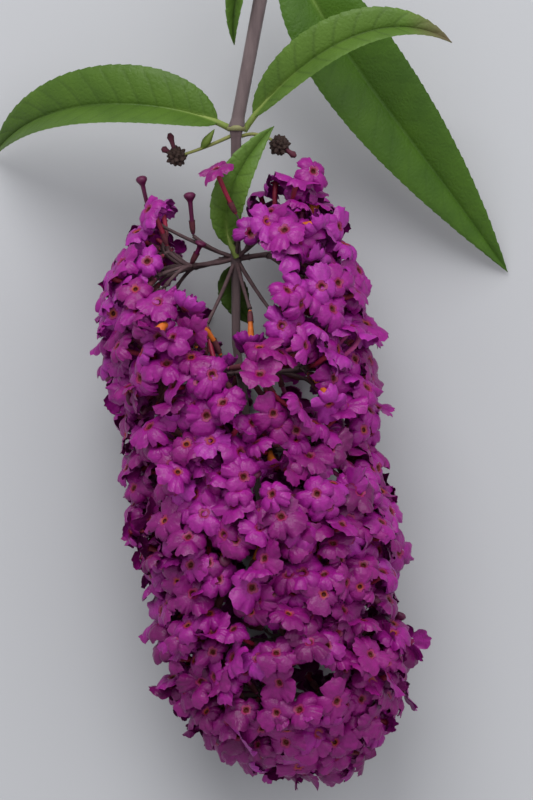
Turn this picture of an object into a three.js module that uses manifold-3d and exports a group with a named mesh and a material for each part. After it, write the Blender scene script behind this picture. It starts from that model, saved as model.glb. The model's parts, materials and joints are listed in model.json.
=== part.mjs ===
// A cut flowering branch end of butterfly bush (Buddleja davidii), lying on its flower head.
//
// Millimetres. Y runs along the branch towards the cut, X across it and Z up. Lengths along the
// branch are given as h, the distance from the first whorl of flowers towards the tip, so that
// y = -h. The last lines move the origin to the middle of the underside.
//
// The branch is one tapering stem. Flowers stand on it in whorls of two opposite clusters, and
// each cluster forks in threes up to its florets. Florets lie on one surface of revolution, the
// head, where a golden-angle spiral spaces them evenly.

import * as THREE from "three";
import { mergeVertices } from "three/addons/utils/BufferGeometryUtils.js";
import Module from "manifold-3d";

const wasm = await Module();
wasm.setup();

// ---------------------------------------------------------------- driving dimensions

// Stem
const cutH = -82; // the flat cut
const upperNodeH = -69.5; // node that carries the large and the small leaf
const leafNodeH = -27.5; // node that carries the left and the right leaf
const stemTipH = 99;
const stemLean = 0.187; // sideways travel for each mm above the leaf node
const headBendStart = 18;
const headBend = 14.5; // sideways travel from there to the end of the head
const headBendPower = 1.05;
const droopStart = 58;
const tipDroop = 5; // how far the stem's tip sinks below the first whorl
const cutSink = 3; // and its cut end
const radiusAtCut = 1.85;
const radiusAtLeafNode = 1.65;
const radiusBelowLeafNode = 1.3;
const radiusAtTip = 0.6;
const nodeSwelling = 1.28;
const whorlSwelling = 1.1;
const nodeHalfLength = 2.2;
const cornerShare = 0.84; // flat sides of the four-angled stem against its corners

// Flower head
const firstGap = 25; // from the first whorl to the second
const secondGap = 16; // and to the third, after which the gaps shrink
const gapShrink = 0.92;
const whorlCount = 7; // below them the head ends in one round cluster
const crownTopH = -22.5;
const crownEndH = -24.5; // where the head would close above the crown's last florets
const crownFootH = 14; // from there on the head has its full radius
const headRadius = 30.5;
const taperStart = 64;
const headEndH = 110.5;
const crownPower = 1.7;
const taperPower = 2.6;
const waists = [
  { h: 38.5, depth: 2 },
  { h: 72, depth: 2.6 },
];
const waistWidth = 4.5;
const restDepth = 27.5; // the surface that the branch lies on, below the first whorl

// Places where the head is open. The stem shows above and below the first whorl, on both sides of
// the branch. Oval gaps are on the upper side, and some go through to the underside.
const stemOpenings = [
  { from: crownTopH, to: -17, left: 40, right: 16.5 },
  { from: -17, to: -13, left: 40, right: 12.5 },
  { from: -13, to: -4, left: 15, right: 5.5 },
  { from: -4, to: 0, left: 14, right: 9.5 },
  { from: 0, to: 9.5, left: 21, right: 11 },
  { from: 9.5, to: 15, left: 9.5, right: 9.5 },
  { from: 15, to: 24.5, left: 6.8, right: 6.5 },
];
const gaps = [
  { across: 14, h: 27.5, halfWidth: 7.5, halfLength: 5.2, isThrough: true },
  { across: 20, h: 42, halfWidth: 3.5, halfLength: 3.5, isThrough: true },
  { across: -26, h: 49.5, halfWidth: 3.8, halfLength: 4, isThrough: true },
  { across: -13, h: 71, halfWidth: 4.5, halfLength: 3, isThrough: false },
  { across: -4, h: 79, halfWidth: 7, halfLength: 3, isThrough: true },
  { across: 8, h: 87.5, halfWidth: 3.5, halfLength: 3.8, isThrough: true },
  { across: -3, h: 91.5, halfWidth: 6, halfLength: 4, isThrough: false },
];

const sparseToH = -1; // above it the left side has only some of its florets
const sparseShare = 3; // namely every third

// Florets and buds on stalks of their own in the open places, as points of the branch
const loneFlorets = [
  {
    cluster: "flowers_1_right",
    root: point(2.6, 2.6, 3.6),
    centre: point(3.2, 4.7, 11),
    facing: point(0.1, 0.1, 1),
  },
  {
    cluster: "flowers_1_right",
    root: point(1, 7.2, 8.3),
    centre: point(-4, 18, 12.5),
    facing: point(-0.3, 0.9, 0.4),
  },
  {
    cluster: "flowers_1_right",
    root: point(11, 10, 5),
    centre: point(16.3, 17.8, 9),
    facing: point(0.3, 0.3, 0.9),
  },
  {
    cluster: "flowers_1_right",
    root: point(3, -11, 7.5),
    centre: point(3.2, -19, 12),
    facing: point(0, -0.85, 0.5),
  },
  {
    cluster: "flowers_1_left",
    root: point(-6, -14, 6),
    centre: point(-3.5, -24.3, 11),
    facing: point(0.4, -0.9, 0.4),
  },
  { cluster: "flowers_1_left", root: point(-9, 4.5, 3), bud: point(-9.8, 13.6, 6) },
  { cluster: "flowers_1_left", root: point(-18, 8, 3), bud: point(-20, 17, 6) },
  { cluster: "flowers_1_left", root: point(-9.5, -1.5, 4), bud: point(-7.2, 3.2, 7) },
  { cluster: "flowers_1_right", root: point(9, -13.5, 6), bud: point(10.8, -7.5, 9) },
];

// Florets
const floretArea = 74; // of the head's surface for each floret
const faceRadius = 5;
const notchRadius = 3.1;
const lobeHalfAngle = 0.43;
const lobeLift = 0.5;
const throatDepth = 0.7;
const neckDepth = 1.7;
const neckRadius = 0.78;
const tubeRootRadius = 0.24;
const tubeLength = 8.5;
const headLength = 3; // the part of a floret that keeps clear of the others of its cluster
const headClearance = 0.05;
const floretsPerTwig = 5; // more than these make a twig fork
const placeJitter = 2.4; // farthest that a floret strays from its place on the head
const depthJitter = 2.2; // and sinks below the head's surface
const tiltJitter = 0.5;
const tries = 8; // places tried for each floret

// Twigs of a cluster, from its own stem outwards. Each ends in a knot that the next ones spring from.
const twigLevels = [
  { startRadius: 0.95, knotRadius: 1.25, reach: 0.14 },
  { startRadius: 0.5, knotRadius: 1.15, reach: 0.34 },
  { startRadius: 0.45, knotRadius: 1.05, reach: 0.5 },
];
const loneTwigRadius = 0.5;
const budRadius = 1.3;
const knotShare = 0.24; // how far off the middle of a knot each root stands, against its radius
const sunkRoot = 0.4; // depth of a root in its knot

// Leaves
const lengthToThickness = 95;
const stalkShare = 0.05; // of a leaf's length
const leafRise = 0.7; // a leaf widens from its foot, and narrows to its tip, by these powers
const leafFall = 0.95;
const tipShare = 0.985; // where the drawn-out tip is cut off, as a share of the blade

// Spent clusters
const spentStalkRadius = 0.42;
const spentFootReach = 1.7; // from the stem's axis to the foot of the stalk, just below the leaf node
const capsuleRadius = 0.8;
const capsuleStretch = 1.5;
const spentKnotRadius = 1.35;
const shootRadius = 0.6;
const shootBractRadius = 0.9;
const shootBractTip = 0.15;

const clearance = 0.3; // between two pieces
const mergeLimit = 0.03; // edges of a fused piece that are shorter are merged away
const seed = 41;

// ---------------------------------------------------------------- colours

const looks = {
  stem: { color: 0x61555a, roughness: 0.75, metalness: 0 },
  leaf: { color: 0x4b652a, roughness: 0.6, metalness: 0 },
  bract: { color: 0x53702f, roughness: 0.6, metalness: 0 },
  spent: { color: 0x3a2a26, roughness: 0.85, metalness: 0 },
  flowers: { color: 0x8a2a74, roughness: 0.55, metalness: 0 },
};

// ---------------------------------------------------------------- helpers

const up = new THREE.Vector3(0, 0, 1);
const along = new THREE.Vector3(0, 1, 0);
const goldenAngle = Math.PI * (3 - Math.sqrt(5));
const { lerp, clamp, seededRandom } = THREE.MathUtils;
seededRandom(seed);

function point(x, y, z) {
  return new THREE.Vector3(x, y, z);
}

// An even random number from -half to half.
function spread(half) {
  return (2 * seededRandom() - 1) * half;
}

// A closed surface through rings of equally many points, with a flat cap on each end.
function loft(rings) {
  const count = rings[0].length;
  const index = [];
  for (let ring = 0; ring < rings.length - 1; ring++) {
    for (let j = 0; j < count; j++) {
      const a = ring * count + j;
      const b = ring * count + ((j + 1) % count);
      index.push(a, b, b + count, a, b + count, a + count);
    }
  }
  const last = (rings.length - 1) * count;
  for (let j = 1; j < count - 1; j++) {
    index.push(0, j + 1, j, last, last + j, last + j + 1);
  }
  return new THREE.BufferGeometry().setFromPoints(rings.flat()).setIndex(index);
}

function solidOf(geometry) {
  geometry.deleteAttribute("normal");
  geometry.deleteAttribute("uv");
  const merged = mergeVertices(geometry, 1e-4);
  return new wasm.Manifold(
    new wasm.Mesh({
      numProp: 3,
      vertProperties: merged.attributes.position.array,
      triVerts: new Uint32Array(merged.index.array),
    }),
  );
}

// Joins solids into one body. The outer shell of the largest body is kept, which drops loose
// scraps and fills sealed hollows.
function fuse(solids) {
  const bodies = wasm.Manifold.union(solids).simplify(mergeLimit).decompose();
  return bodies.reduce((best, body) => (body.volume() > best.volume() ? body : best));
}

function meshOf(name, solid, look) {
  const { vertProperties, triVerts } = solid.getMesh();
  const geometry = new THREE.BufferGeometry();
  geometry.setAttribute("position", new THREE.BufferAttribute(vertProperties, 3));
  geometry.setIndex(new THREE.BufferAttribute(triVerts, 1));
  geometry.computeVertexNormals();
  const mesh = new THREE.Mesh(geometry, new THREE.MeshStandardMaterial(look));
  mesh.name = name;
  return mesh;
}

// ---------------------------------------------------------------- stem

function stemAt(h) {
  const lean = stemLean * Math.max(0, leafNodeH - h);
  const bend = headBend * (Math.max(0, h - headBendStart) / (headEndH - headBendStart)) ** headBendPower;
  const droop = tipDroop * (Math.max(0, h - droopStart) / (headEndH - droopStart)) ** 2;
  const sink = cutSink * (Math.max(0, -h) / -cutH) ** 2;
  return point(lean + bend, -h, -droop - sink);
}

function stemRadius(h) {
  if (h < leafNodeH) {
    return lerp(radiusAtLeafNode, radiusAtCut, (leafNodeH - h) / (leafNodeH - cutH));
  }
  return lerp(radiusBelowLeafNode, radiusAtTip, (h - leafNodeH) / (stemTipH - leafNodeH));
}

// A rounded square across the stem.
function stemRing(h, swelling) {
  const centre = stemAt(h);
  const ring = [];
  for (let j = 0; j < 8; j++) {
    const angle = (j * Math.PI) / 4 + Math.PI / 4;
    const radius = stemRadius(h) * swelling * (j % 2 ? cornerShare : 1);
    ring.push(point(centre.x + radius * Math.cos(angle), centre.y, centre.z + radius * Math.sin(angle)));
  }
  return ring;
}

function stemSolid() {
  const rings = [stemRing(cutH, 1)];
  for (const nodeH of [upperNodeH, leafNodeH, 0]) {
    rings.push(stemRing(nodeH - nodeHalfLength, 1));
    rings.push(stemRing(nodeH, nodeSwelling));
    rings.push(stemRing(nodeH + nodeHalfLength, 1));
  }
  for (let whorl = 1; whorl < whorlCount; whorl++) {
    rings.push(stemRing(whorlH(whorl), whorlSwelling));
  }
  rings.push(stemRing(stemTipH, 1));
  return solidOf(loft(rings));
}

// ---------------------------------------------------------------- leaves

// Share of the full half-width at t, from the foot of the blade (0) to its tip (1).
function leafOutline(t) {
  const widest = leafRise / (leafRise + leafFall);
  const peak = widest ** leafRise * (1 - widest) ** leafFall;
  return (t ** leafRise * (1 - t) ** leafFall) / peak;
}

// A leaf is a lanceolate blade on a short stalk, folded along its midrib. The midrib is a cubic
// curve from foot to tip. Each half rises from it by its own angle, in degrees, and the section
// is as thick along the fold's middle plane as it takes for the steeper half to be thick enough.
function leafSolid({ foot, rise, fall, tip, width, folds }) {
  const stations = 12;
  const midrib = new THREE.CubicBezierCurve3(foot, rise, fall, tip);
  const [nearFold, farFold] = folds.map(THREE.MathUtils.degToRad);
  const thickness = midrib.getLength() / lengthToThickness / Math.cos(Math.max(nearFold, farFold));
  const rings = [];
  for (let i = 0; i <= stations; i++) {
    const t = i / stations;
    const centre = midrib.getPoint(t);
    const tangent = midrib.getTangent(t);
    const side = new THREE.Vector3().crossVectors(up, tangent).normalize();
    const normal = new THREE.Vector3().crossVectors(tangent, side);
    const blade = clamp((t - stalkShare) / (1 - stalkShare), 0, tipShare);
    const half = Math.max(thickness / 2, (width / 2) * leafOutline(blade));
    const near = side.clone().multiplyScalar(half * Math.cos(nearFold));
    near.addScaledVector(normal, half * Math.sin(nearFold));
    const far = side.clone().multiplyScalar(-half * Math.cos(farFold));
    far.addScaledVector(normal, half * Math.sin(farFold));
    const top = centre.clone().addScaledVector(normal, thickness / 2);
    const bottom = centre.clone().addScaledVector(normal, -thickness / 2);
    rings.push([
      top,
      top.clone().add(near),
      bottom.clone().add(near),
      bottom,
      bottom.clone().add(far),
      top.clone().add(far),
    ]);
  }
  const solid = solidOf(loft(rings));
  return solid.volume() > 0 ? solid : solidOf(loft(rings.reverse()));
}

const leafNode = stemAt(leafNodeH);
const upperNode = stemAt(upperNodeH);
const leafNodeReach = radiusAtLeafNode * nodeSwelling + clearance;
const upperNodeReach = stemRadius(upperNodeH) * nodeSwelling + clearance;
const whorlNodeReach = stemRadius(0) * nodeSwelling + clearance;
const tipRest = 0.8 - restDepth; // height of a leaf tip that lies on the surface

const leaves = {
  left_leaf: {
    foot: leafNode.clone().add(point(-leafNodeReach, 0.6, 0)),
    rise: point(-11.7, 32.5, 6),
    fall: point(-42.3, 37.7, -3),
    tip: point(-53.7, 23.5, tipRest),
    width: 17.3,
    folds: [58, 4],
    look: looks.leaf,
  },
  right_leaf: {
    foot: leafNode.clone().add(point(leafNodeReach, 0.6, 0)),
    rise: point(11, 40, 8),
    fall: point(30, 54, 15),
    tip: point(45.5, 45, 7),
    width: 12,
    folds: [8, 58],
    look: looks.leaf,
  },
  large_leaf: {
    foot: upperNode.clone().add(point(upperNodeReach, -0.4, 0)),
    rise: point(15, 50, 2),
    fall: point(37, 28, -8),
    tip: point(59.7, -2, tipRest),
    width: 20,
    folds: [16, 16],
    look: looks.leaf,
  },
  small_leaf: {
    foot: upperNode.clone().add(point(-upperNodeReach, -0.4, 0)),
    rise: point(2, 64, 3),
    fall: point(-1.5, 54, 2),
    tip: point(-0.4, 45.6, -3),
    width: 8,
    folds: [60, 52],
    look: looks.leaf,
  },
  front_bract: {
    foot: point(-0.3, 1.2, whorlNodeReach),
    rise: point(-5, 9, 5.5),
    fall: point(0.5, 20, 8),
    tip: point(8.1, 27.5, 6),
    width: 8.4,
    folds: [24, 30],
    look: looks.bract,
  },
  back_bract: {
    foot: point(0, -0.8, -whorlNodeReach),
    rise: point(-2.5, -5, -5),
    fall: point(0, -10, -6.5),
    tip: point(3.2, -14, -6),
    width: 7,
    folds: [20, 20],
    look: looks.bract,
  },
};

// ---------------------------------------------------------------- twigs and florets

// A three-sided twig.
function twigSolid(start, end, startRadius, endRadius) {
  const axis = end.clone().sub(start);
  const geometry = new THREE.CylinderGeometry(endRadius, startRadius, axis.length(), 3);
  geometry.applyQuaternion(new THREE.Quaternion().setFromUnitVectors(along, axis.normalize()));
  const middle = start.clone().lerp(end, 0.5);
  geometry.translate(middle.x, middle.y, middle.z);
  return solidOf(geometry);
}

// Where something that grows from the knot at the end of a twig has its root: sunk in the knot,
// and on the side that it grows to.
function rootOn(start, end, knotRadius, target) {
  const axis = end.clone().sub(start).normalize();
  const aside = target.clone().sub(end);
  aside.addScaledVector(axis, -aside.dot(axis)).setLength(knotRadius * knotShare);
  return end.clone().addScaledVector(axis, -sunkRoot).add(aside);
}

// A floret: a face of four square lobes, sunk at the throat, on a three-sided tube that runs
// back to its root. The margin makes it larger on all sides, to test the room round it.
function floretSolid({ centre, facing, root, spin }, margin = 0) {
  const turn = new THREE.Quaternion().setFromUnitVectors(up, facing);
  function place(angle, radius, height, from) {
    return point(radius * Math.cos(angle), radius * Math.sin(angle), height).applyQuaternion(turn).add(from);
  }
  const lobeTip = faceRadius + margin;
  const notch = notchRadius + margin;
  const outline = [];
  for (let lobe = 0; lobe < 4; lobe++) {
    const angle = spin + (lobe * Math.PI) / 2;
    outline.push(place(angle - lobeHalfAngle, lobeTip, lobeLift + margin, centre));
    outline.push(place(angle + lobeHalfAngle, lobeTip, lobeLift + margin, centre));
    outline.push(place(angle + Math.PI / 4, notch, margin, centre));
  }
  const throat = place(0, 0, margin - throatDepth, centre);
  const neck = []; // where the tube meets the face
  const foot = [];
  for (let k = 0; k < 3; k++) {
    const angle = spin + Math.PI / 4 + (k * 2 * Math.PI) / 3;
    neck.push(place(angle, neckRadius + margin, -neckDepth - margin, centre));
    foot.push(place(angle, tubeRootRadius + margin, 0, root));
  }
  const index = [];
  const throatAt = outline.length;
  const neckAt = throatAt + 1;
  const footAt = neckAt + 3;
  for (let j = 0; j < outline.length; j++) {
    const next = (j + 1) % outline.length;
    index.push(throatAt, j, next);
    index.push(neckAt + Math.floor(j / 4), next, j);
  }
  for (let k = 0; k < 3; k++) {
    const next = (k + 1) % 3;
    index.push((4 * k + 4) % outline.length, neckAt + k, neckAt + next);
    index.push(neckAt + next, neckAt + k, footAt + k);
    index.push(neckAt + next, footAt + k, footAt + next);
  }
  index.push(footAt, footAt + 2, footAt + 1);
  const points = [...outline, throat, ...neck, ...foot];
  return solidOf(new THREE.BufferGeometry().setFromPoints(points).setIndex(index));
}

// ---------------------------------------------------------------- flower head

// Height of a whorl on the stem. Whorl 0 is the first, and whorl whorlCount stands for the tip.
function whorlH(whorl) {
  if (whorl === 0) {
    return 0;
  }
  let h = firstGap;
  for (let i = 1; i < whorl; i++) {
    h += secondGap * gapShrink ** (i - 1);
  }
  return h;
}

// The whorl that a floret at h belongs to.
function whorlOf(h) {
  let whorl = 0;
  while (whorl < whorlCount && h > (whorlH(whorl) + whorlH(whorl + 1)) / 2) {
    whorl++;
  }
  return whorl;
}

// The head's radius at h: full in the middle, rounded off at both ends, with two waists.
function surfaceRadius(h) {
  const crown = clamp((crownFootH - h) / (crownFootH - crownEndH), 0, 1) ** crownPower;
  const taper = clamp((h - taperStart) / (headEndH - taperStart), 0, 1) ** taperPower;
  let radius = headRadius * Math.sqrt(Math.max(0, 1 - crown - taper));
  for (const waist of waists) {
    radius -= waist.depth * Math.exp(-(((h - waist.h) / waistWidth) ** 2));
  }
  return Math.max(0, radius);
}

function surfacePoint(h, angle, depth = 0) {
  const radius = surfaceRadius(h) - depth;
  return stemAt(h).add(point(radius * Math.cos(angle), 0, radius * Math.sin(angle)));
}

function surfaceNormal(h, angle) {
  const slope = surfaceRadius(h + 0.5) - surfaceRadius(h - 0.5);
  return point(Math.cos(angle), clamp(slope, -3, 3), Math.sin(angle)).normalize();
}

// True where the head is open.
function isOpen(h, angle) {
  const across = surfaceRadius(h) * Math.cos(angle);
  if (stemOpenings.some((o) => h > o.from && h < o.to && across > -o.left && across < o.right)) {
    return true;
  }
  const isOnTop = Math.sin(angle) > 0;
  return gaps.some((gap) => {
    const distance = Math.hypot((across - gap.across) / gap.halfWidth, (h - gap.h) / gap.halfLength);
    return distance < 1 && (isOnTop || gap.isThrough);
  });
}

// Name of the cluster that a floret belongs to. Successive whorls stand crosswise.
function clusterOf(h, angle) {
  const whorl = whorlOf(h);
  if (whorl === whorlCount) {
    return "flowers_tip";
  }
  const frontOrBack = Math.sin(angle) > 0 ? "front" : "back";
  const leftOrRight = Math.cos(angle) > 0 ? "right" : "left";
  return `flowers_${whorl + 1}_${whorl % 2 ? frontOrBack : leftOrRight}`;
}

// Walks down the head and sets a floret wherever another share of its surface has gone by, each a
// golden angle on from the last. Returns the florets of each cluster.
function layFlorets() {
  const clusters = new Map();
  const step = 0.05;
  let area = floretArea / 2;
  let count = 0;
  for (let h = crownTopH; h < headEndH; h += step) {
    const radius = surfaceRadius(h);
    area += 2 * Math.PI * radius * Math.hypot(step, surfaceRadius(h + step) - radius);
    if (area < floretArea) {
      continue;
    }
    area -= floretArea;
    const angle = count * goldenAngle;
    count++;
    const isSparse = h < sparseToH && Math.cos(angle) < 0 && count % sparseShare > 0;
    if (isSparse || isOpen(h, angle)) {
      continue;
    }
    const name = clusterOf(h, angle);
    if (!clusters.has(name)) {
      clusters.set(name, []);
    }
    clusters.get(name).push({ h, angle, at: surfacePoint(h, angle) });
  }
  return clusters;
}

function middleOf(florets) {
  const middle = point(0, 0, 0);
  for (const floret of florets) {
    middle.addScaledVector(floret.at, 1 / florets.length);
  }
  return middle;
}

// Sorts florets along the longer side of their group and deals them out in thirds.
function thirds(florets) {
  const box = new THREE.Box3().setFromPoints(florets.map((floret) => floret.at));
  const size = box.getSize(point(0, 0, 0));
  const key = size.y > Math.max(size.x, size.z) ? "y" : size.x > size.z ? "x" : "z";
  const sorted = [...florets].sort((a, b) => a.at[key] - b.at[key]);
  const third = sorted.length / 3;
  return [0, 1, 2].map((i) => sorted.slice(Math.round(i * third), Math.round((i + 1) * third)));
}

const placed = []; // everything that a new twig or floret keeps clear of

function isClear(solid, cluster, middle, reach) {
  return !placed.some(
    (other) =>
      other.cluster !== cluster &&
      other.middle.distanceTo(middle) < other.reach + reach &&
      !solid.intersect(other.solid).isEmpty(),
  );
}

function remember(solid, cluster, middle, reach) {
  placed.push({ solid, cluster, middle, reach });
}

// A twig grows towards the middle of its florets and forks in three, until few florets are left.
function growTwig(cluster, florets, start, level, pieces) {
  const { startRadius, knotRadius, reach } = twigLevels[level];
  const middle = middleOf(florets);
  const isLast = florets.length <= floretsPerTwig || level === twigLevels.length - 1;
  const share = isLast ? Math.max(0.15, 1 - tubeLength / middle.distanceTo(start)) : reach;
  const end = start.clone().lerp(middle, share);
  const centre = start.clone().lerp(end, 0.5);
  const room = start.distanceTo(end) / 2 + knotRadius;
  const margin = clearance / 2;
  if (!isClear(twigSolid(start, end, startRadius + margin, knotRadius + margin), cluster, centre, room)) {
    return;
  }
  const twig = twigSolid(start, end, startRadius, knotRadius);
  pieces.push(twig);
  remember(twig, cluster, centre, room);
  if (isLast) {
    for (const floret of florets) {
      growFloret(cluster, floret, rootOn(start, end, knotRadius, floret.at), pieces);
    }
    return;
  }
  for (const group of thirds(florets)) {
    growTwig(cluster, group, rootOn(start, end, knotRadius, middleOf(group)), level + 1, pieces);
  }
}

// Sets a floret in its place with a little disorder. It is tried in several places and left out
// where each would touch another floret, a leaf or the stem.
function growFloret(cluster, floret, root, pieces) {
  for (let attempt = 0; attempt < tries; attempt++) {
    const h = clamp(floret.h + spread(placeJitter), crownTopH, headEndH - 0.4);
    const angle = floret.angle + spread(placeJitter) / Math.max(8, surfaceRadius(h));
    const centre = surfacePoint(h, angle, seededRandom() * depthJitter);
    const tilt = point(spread(tiltJitter), spread(tiltJitter), spread(tiltJitter));
    const tube = centre.clone().sub(root).normalize();
    const facing = surfaceNormal(h, angle).add(tube).add(tilt).normalize();
    const place = { centre, facing, root, spin: seededRandom() * Math.PI };
    const lowest = floretSolid(place).boundingBox().min[2];
    centre.z += Math.max(0, -restDepth - lowest);
    const reach = centre.distanceTo(root) + faceRadius;
    const head = { ...place, root: centre.clone().addScaledVector(facing, -headLength) };
    const headSolid = floretSolid(head, headClearance);
    if (pieces.some((piece) => piece.isFloret && !piece.intersect(headSolid).isEmpty())) {
      continue;
    }
    if (!isClear(floretSolid(place, clearance / 2), cluster, centre, reach)) {
      continue;
    }
    const solid = floretSolid(place);
    solid.isFloret = true;
    pieces.push(solid);
    remember(solid, cluster, centre, reach);
    return;
  }
}

// A floret or bud on its own stalk, which branches off inside the cluster's first twig.
function growLone({ cluster, root, bud, centre, facing }, start, pieces) {
  const end = bud ?? centre;
  const parts = [twigSolid(start, root, loneTwigRadius, loneTwigRadius)];
  if (bud) {
    parts.push(twigSolid(root, bud, tubeRootRadius, budRadius));
  } else {
    parts.push(floretSolid({ centre, facing: facing.normalize(), root, spin: 0 }));
  }
  const reach = start.distanceTo(root) + root.distanceTo(end) + faceRadius;
  if (parts.every((part) => isClear(part, cluster, root, reach))) {
    for (const part of parts) {
      pieces.push(part);
      remember(part, cluster, root, reach);
    }
  }
}

// ---------------------------------------------------------------- spent clusters

// The dry remains of small side clusters at the leaf node: a thin stalk with a knot of capsules,
// short shoots that lead on from the knot, and a narrow bract at the stalk's bend.
const spentClusters = {
  spent_cluster_left: {
    side: -1,
    bend: point(-7.2, 23.2, 1.5),
    end: point(-12.6, 21.4, 2),
    capsules: 7,
    shoots: [point(-14.1, 26.3, 2.6), point(-15.7, 23.2, 2.2)],
    bract: point(-4.5, 27.2, 2.2),
  },
  spent_cluster_right: {
    side: 1,
    bend: point(5, 26, 1.5),
    end: point(9.2, 23.8, 2.5),
    capsules: 8,
    shoots: [point(12.7, 21.3, 3)],
    bract: null,
  },
};

function spentSolid({ side, bend, end, capsules, shoots, bract }) {
  const start = leafNode.clone().add(point(side * spentFootReach, -1.6, 0));
  const overlap = bend.clone().sub(end).setLength(spentStalkRadius);
  const pieces = [
    twigSolid(start, bend, spentStalkRadius, spentStalkRadius),
    twigSolid(bend.clone().add(overlap), end, spentStalkRadius, spentStalkRadius),
  ];
  for (let i = 0; i < capsules; i++) {
    const height = 1 - (2 * i + 1) / capsules;
    const ring = Math.sqrt(1 - height * height);
    const angle = i * goldenAngle;
    const offset = point(ring * Math.cos(angle), ring * Math.sin(angle), height);
    const capsule = new THREE.OctahedronGeometry(capsuleRadius);
    capsule.scale(1, 1, capsuleStretch);
    capsule.applyQuaternion(new THREE.Quaternion().setFromUnitVectors(up, offset));
    const middle = end.clone().addScaledVector(offset, spentKnotRadius);
    capsule.translate(middle.x, middle.y, middle.z);
    pieces.push(solidOf(capsule));
  }
  for (const shoot of shoots) {
    pieces.push(twigSolid(end, shoot, spentStalkRadius, shootRadius));
  }
  if (bract) {
    pieces.push(twigSolid(bend, bract, shootBractRadius, shootBractTip));
  }
  return fuse(pieces);
}

// ---------------------------------------------------------------- the whole branch

const branch = new THREE.Group();

function addLimb(name, solid, look) {
  branch.add(meshOf(name, solid, look));
  const box = solid.boundingBox();
  const low = new THREE.Vector3().fromArray(box.min);
  const high = new THREE.Vector3().fromArray(box.max);
  remember(solid, name, low.clone().lerp(high, 0.5), low.distanceTo(high) / 2);
}

addLimb("stem", stemSolid(), looks.stem);
for (const [name, leaf] of Object.entries(leaves)) {
  addLimb(name, leafSolid(leaf), leaf.look);
}
for (const [name, cluster] of Object.entries(spentClusters)) {
  addLimb(name, spentSolid(cluster), looks.spent);
}

for (const [name, florets] of layFlorets()) {
  const whorl = whorlOf(florets[0].h);
  const isTip = name === "flowers_tip";
  const nodeH = isTip ? stemTipH : whorlH(whorl);
  const outward = middleOf(florets).sub(stemAt(nodeH));
  if (isTip) {
    outward.set(0, -1, 0);
  } else {
    outward.setY(0).normalize();
  }
  const swelling = whorl === 0 ? nodeSwelling : whorlSwelling;
  const reach = isTip ? clearance : stemRadius(nodeH) * swelling + clearance;
  const start = stemAt(nodeH).addScaledVector(outward, reach);
  const pieces = [];
  growTwig(name, florets, start, 0, pieces);
  const fork = start.clone().lerp(middleOf(florets), twigLevels[0].reach / 2);
  for (const lone of loneFlorets.filter((floret) => floret.cluster === name)) {
    growLone(lone, fork, pieces);
  }
  branch.add(meshOf(name, fuse(pieces), looks.flowers));
}

// The origin is the middle of the underside.
const box = new THREE.Box3().setFromObject(branch);
branch.position.set(-(box.min.x + box.max.x) / 2, -(box.min.y + box.max.y) / 2, -box.min.z);

export default branch;
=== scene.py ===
"""Looks of a cut flowering branch of butterfly bush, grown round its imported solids.

Lengths are in millimetres in the branch's own frame: the origin is on the stem's axis at the first
whorl of flowers, Y runs along the branch towards the cut and Z is up. Places along the branch are
given as h, the distance from the first whorl towards the tip, so that y = -h. Angles round the branch
start at X, on the right, and turn towards Z. The rules and their sizes are those of the solids, with
smaller florets, more of them, and finer twigs. A mesh is turned into metres, in the frame of the
solids, when it is made. Colours are on the screen's scale of 0 to 255, apart from the sky's.
"""

import json
import math
from functools import cache

import bpy
import numpy as np
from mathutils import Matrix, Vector


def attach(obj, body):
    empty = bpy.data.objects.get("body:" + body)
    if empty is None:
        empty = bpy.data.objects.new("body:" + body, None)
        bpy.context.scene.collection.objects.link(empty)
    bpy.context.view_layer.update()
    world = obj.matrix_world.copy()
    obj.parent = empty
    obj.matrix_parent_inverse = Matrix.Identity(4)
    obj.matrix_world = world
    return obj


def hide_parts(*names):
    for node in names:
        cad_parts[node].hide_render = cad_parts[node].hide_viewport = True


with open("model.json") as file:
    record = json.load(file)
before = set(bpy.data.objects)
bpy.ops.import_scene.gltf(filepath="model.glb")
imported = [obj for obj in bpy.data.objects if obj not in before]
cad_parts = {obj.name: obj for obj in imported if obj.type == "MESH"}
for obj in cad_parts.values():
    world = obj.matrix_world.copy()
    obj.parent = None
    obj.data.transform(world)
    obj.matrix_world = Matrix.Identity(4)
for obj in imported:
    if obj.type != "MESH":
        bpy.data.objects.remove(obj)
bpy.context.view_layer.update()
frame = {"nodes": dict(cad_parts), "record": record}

MM = 0.001

# ---- sizes shared with the solids

# Stem
CUT_H = -82
UPPER_NODE_H = -69.5
LEAF_NODE_H = -27.5
STEM_TIP_H = 99
STEM_LEAN = 0.187  # to the right, for each length from the lower leaf node to the cut
HEAD_BEND_START = 18
HEAD_BEND = 14.5
HEAD_BEND_POWER = 1.05
DROOP_START = 58
TIP_DROOP = 5
CUT_SINK = 3
RADIUS_AT_CUT = 1.85
RADIUS_AT_LEAF_NODE = 1.65
RADIUS_BELOW_LEAF_NODE = 1.3
RADIUS_AT_TIP = 0.6
NODE_SWELLING = 1.28
WHORL_SWELLING = 1.1
NODE_HALF_LENGTH = 2.2
CORNER_SHARE = 0.84  # radius between the stem's corners, as a share of that at a corner

# Flower head
FIRST_GAP = 25
SECOND_GAP = 16
GAP_SHRINK = 0.92
WHORL_COUNT = 7
CROWN_TOP_H = -22.5
CROWN_END_H = -24.5
CROWN_FOOT_H = 14
HEAD_RADIUS = 30.5
TAPER_START = 64
HEAD_END_H = 110.5
CROWN_POWER = 1.7
TAPER_POWER = 2.6
WAISTS = ({"h": 38.5, "depth": 2}, {"h": 72, "depth": 2.6})
WAIST_WIDTH = 4.5
REST_DEPTH = 27.5  # of what the branch lies on, below the stem's axis

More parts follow.
